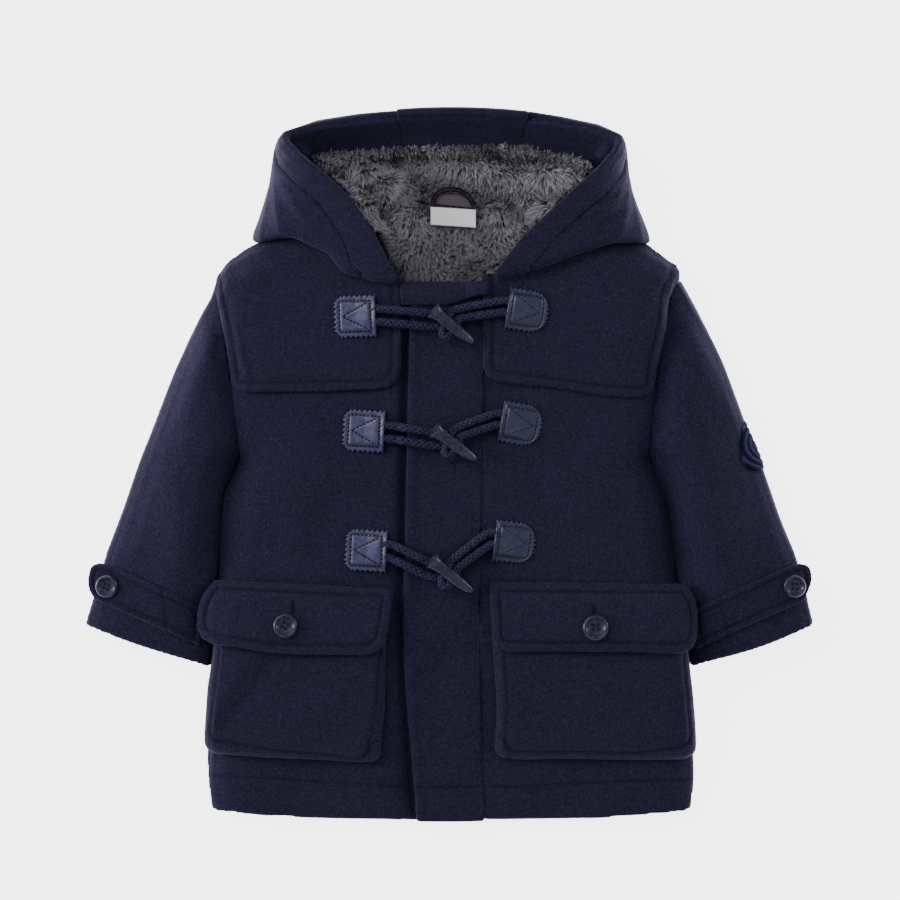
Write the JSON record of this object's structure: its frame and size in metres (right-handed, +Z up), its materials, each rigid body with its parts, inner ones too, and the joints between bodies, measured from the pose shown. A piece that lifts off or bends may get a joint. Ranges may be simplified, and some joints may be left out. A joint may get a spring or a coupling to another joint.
{
  "type": "duffle coat",
  "caption": "Toddler's hooded duffle coat laid flat: pile-lined hood, toggle and cord fastenings on a front band, yoke flaps, flap pockets and buttoned cuff straps.",
  "frame": {"origin": "on the table, under the middle of the coat's outline", "axes": "+X toward the wearer's left sleeve, +Y toward the hood, +Z up from the table, out of the front of the coat"},
  "size_m": [0.5088, 0.4996, 0.0544],
  "materials": {
    "navy_melton": "napped wool melton, matt with a soft bloom",
    "grey_pile": "deep grey pile, tufted",
    "navy_leather": "smooth coated leather with pinked edges",
    "navy_horn": "moulded, satin gloss",
    "label_satin": "bare woven satin label"
  },
  "bodies": {
    "root": {"back_lining": "grey_pile", "back_panel": "navy_melton", "button_cuff_left": "navy_horn", "button_cuff_right": "navy_horn", "button_flap_left": "navy_horn", "button_flap_right": "navy_horn", "cuff_strap_left": "navy_melton", "cuff_strap_right": "navy_melton", "front_left": "navy_melton", "front_right": "navy_melton", "hang_loop": "navy_melton", "hood_band_centre": "navy_melton", "hood_band_left": "navy_melton", "hood_band_right": "navy_melton", "hood_centre": "navy_melton", "hood_facing_centre": "navy_melton", "hood_facing_left": "navy_melton", "hood_facing_right": "navy_melton", "hood_lining": "grey_pile", "hood_side_left": "navy_melton", "hood_side_right": "navy_melton", "loop_left_1": "navy_melton", "loop_left_2": "navy_melton", "loop_left_3": "navy_melton", "loop_right_1": "navy_melton", "loop_right_2": "navy_melton", "loop_right_3": "navy_melton", "neck_band": "navy_melton", "neck_label": "label_satin", "neck_patch": "label_satin", "patch_left_1": "navy_leather", "patch_left_2": "navy_leather", "patch_left_3": "navy_leather", "patch_right_1": "navy_leather", "patch_right_2": "navy_leather", "patch_right_3": "navy_leather", "placket": "navy_melton", "pocket_flap_left": "navy_melton", "pocket_flap_right": "navy_melton", "pocket_left": "navy_melton", "pocket_right": "navy_melton", "sleeve_badge": "navy_melton", "sleeve_left_top": "navy_melton", "sleeve_left_under": "navy_melton", "sleeve_right_top": "navy_melton", "sleeve_right_under": "navy_melton", "toggle_1": "navy_horn", "toggle_2": "navy_horn", "toggle_3": "navy_horn", "yoke_left": "navy_melton", "yoke_right": "navy_melton"}
  },
  "joints": []
}
